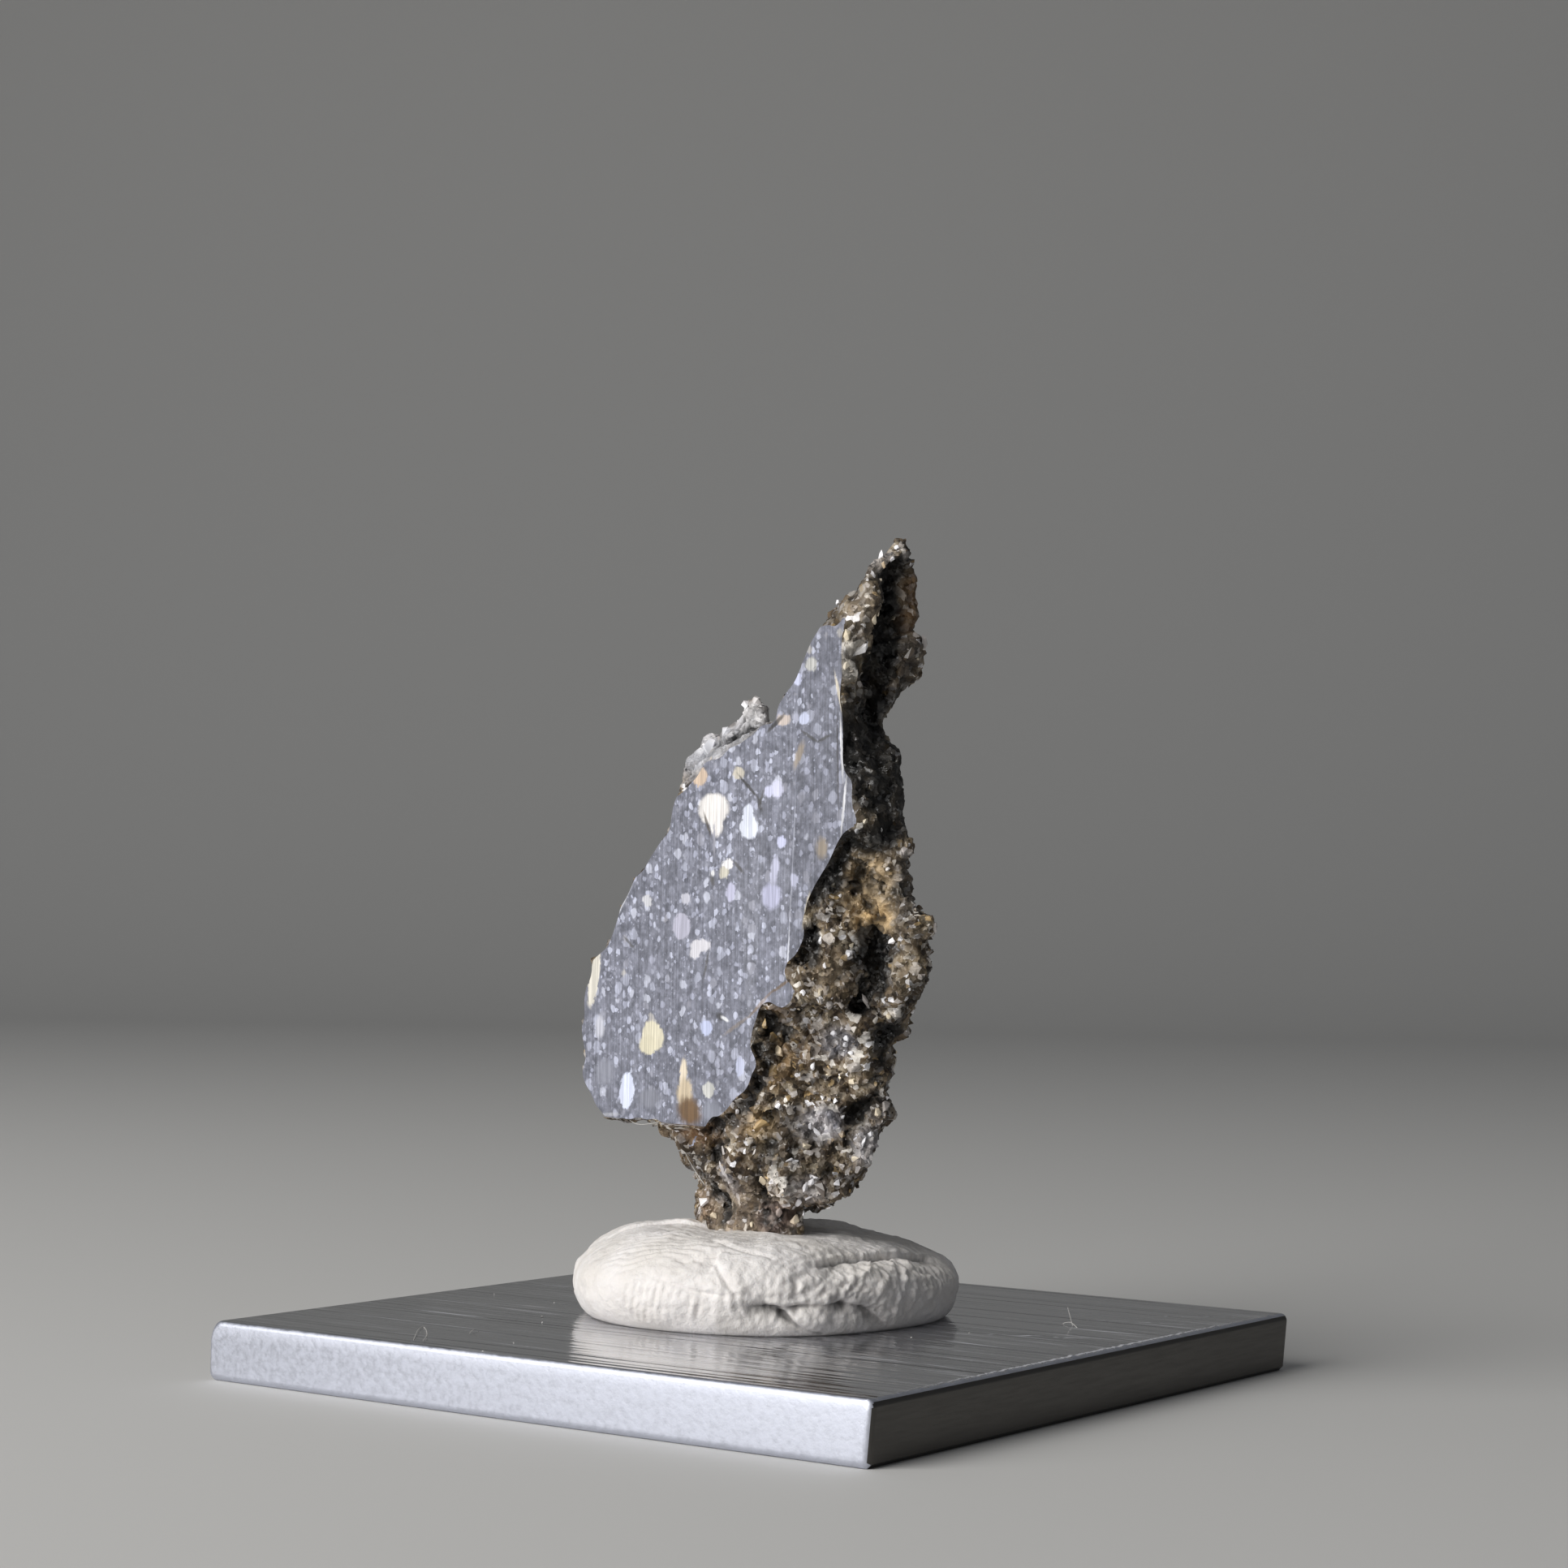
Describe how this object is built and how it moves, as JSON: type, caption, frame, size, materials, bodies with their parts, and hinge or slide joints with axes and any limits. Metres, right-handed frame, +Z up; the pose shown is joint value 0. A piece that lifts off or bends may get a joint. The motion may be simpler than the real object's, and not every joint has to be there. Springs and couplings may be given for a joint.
{
  "type": "lunar meteorite end cut on a putty and aluminium display base",
  "caption": "Lunar meteorite end cut, sawn flat in front and weathered behind, its foot pressed in a lump of mounting putty on a square brushed aluminium plate.",
  "frame": {"origin": "centre of the plate's underside, on the surface that the object rests on", "axes": "+Z up, X along the plate's brushed grain, -Y towards the plate's bright front edge; the saw face looks between -Y and -X"},
  "size_m": [0.04, 0.04, 0.0429],
  "materials": {
    "lunar_breccia": "sawn blue-grey breccia in front, rough dark brown weathered crust elsewhere",
    "mounting_putty": "matte warm white putty with finger ridges",
    "brushed_aluminium": "brushed along X, sawn edges"
  },
  "bodies": {
    "root": {"meteorite": "lunar_breccia", "mounting_putty": "mounting_putty", "base_plate": "brushed_aluminium"}
  },
  "joints": []
}
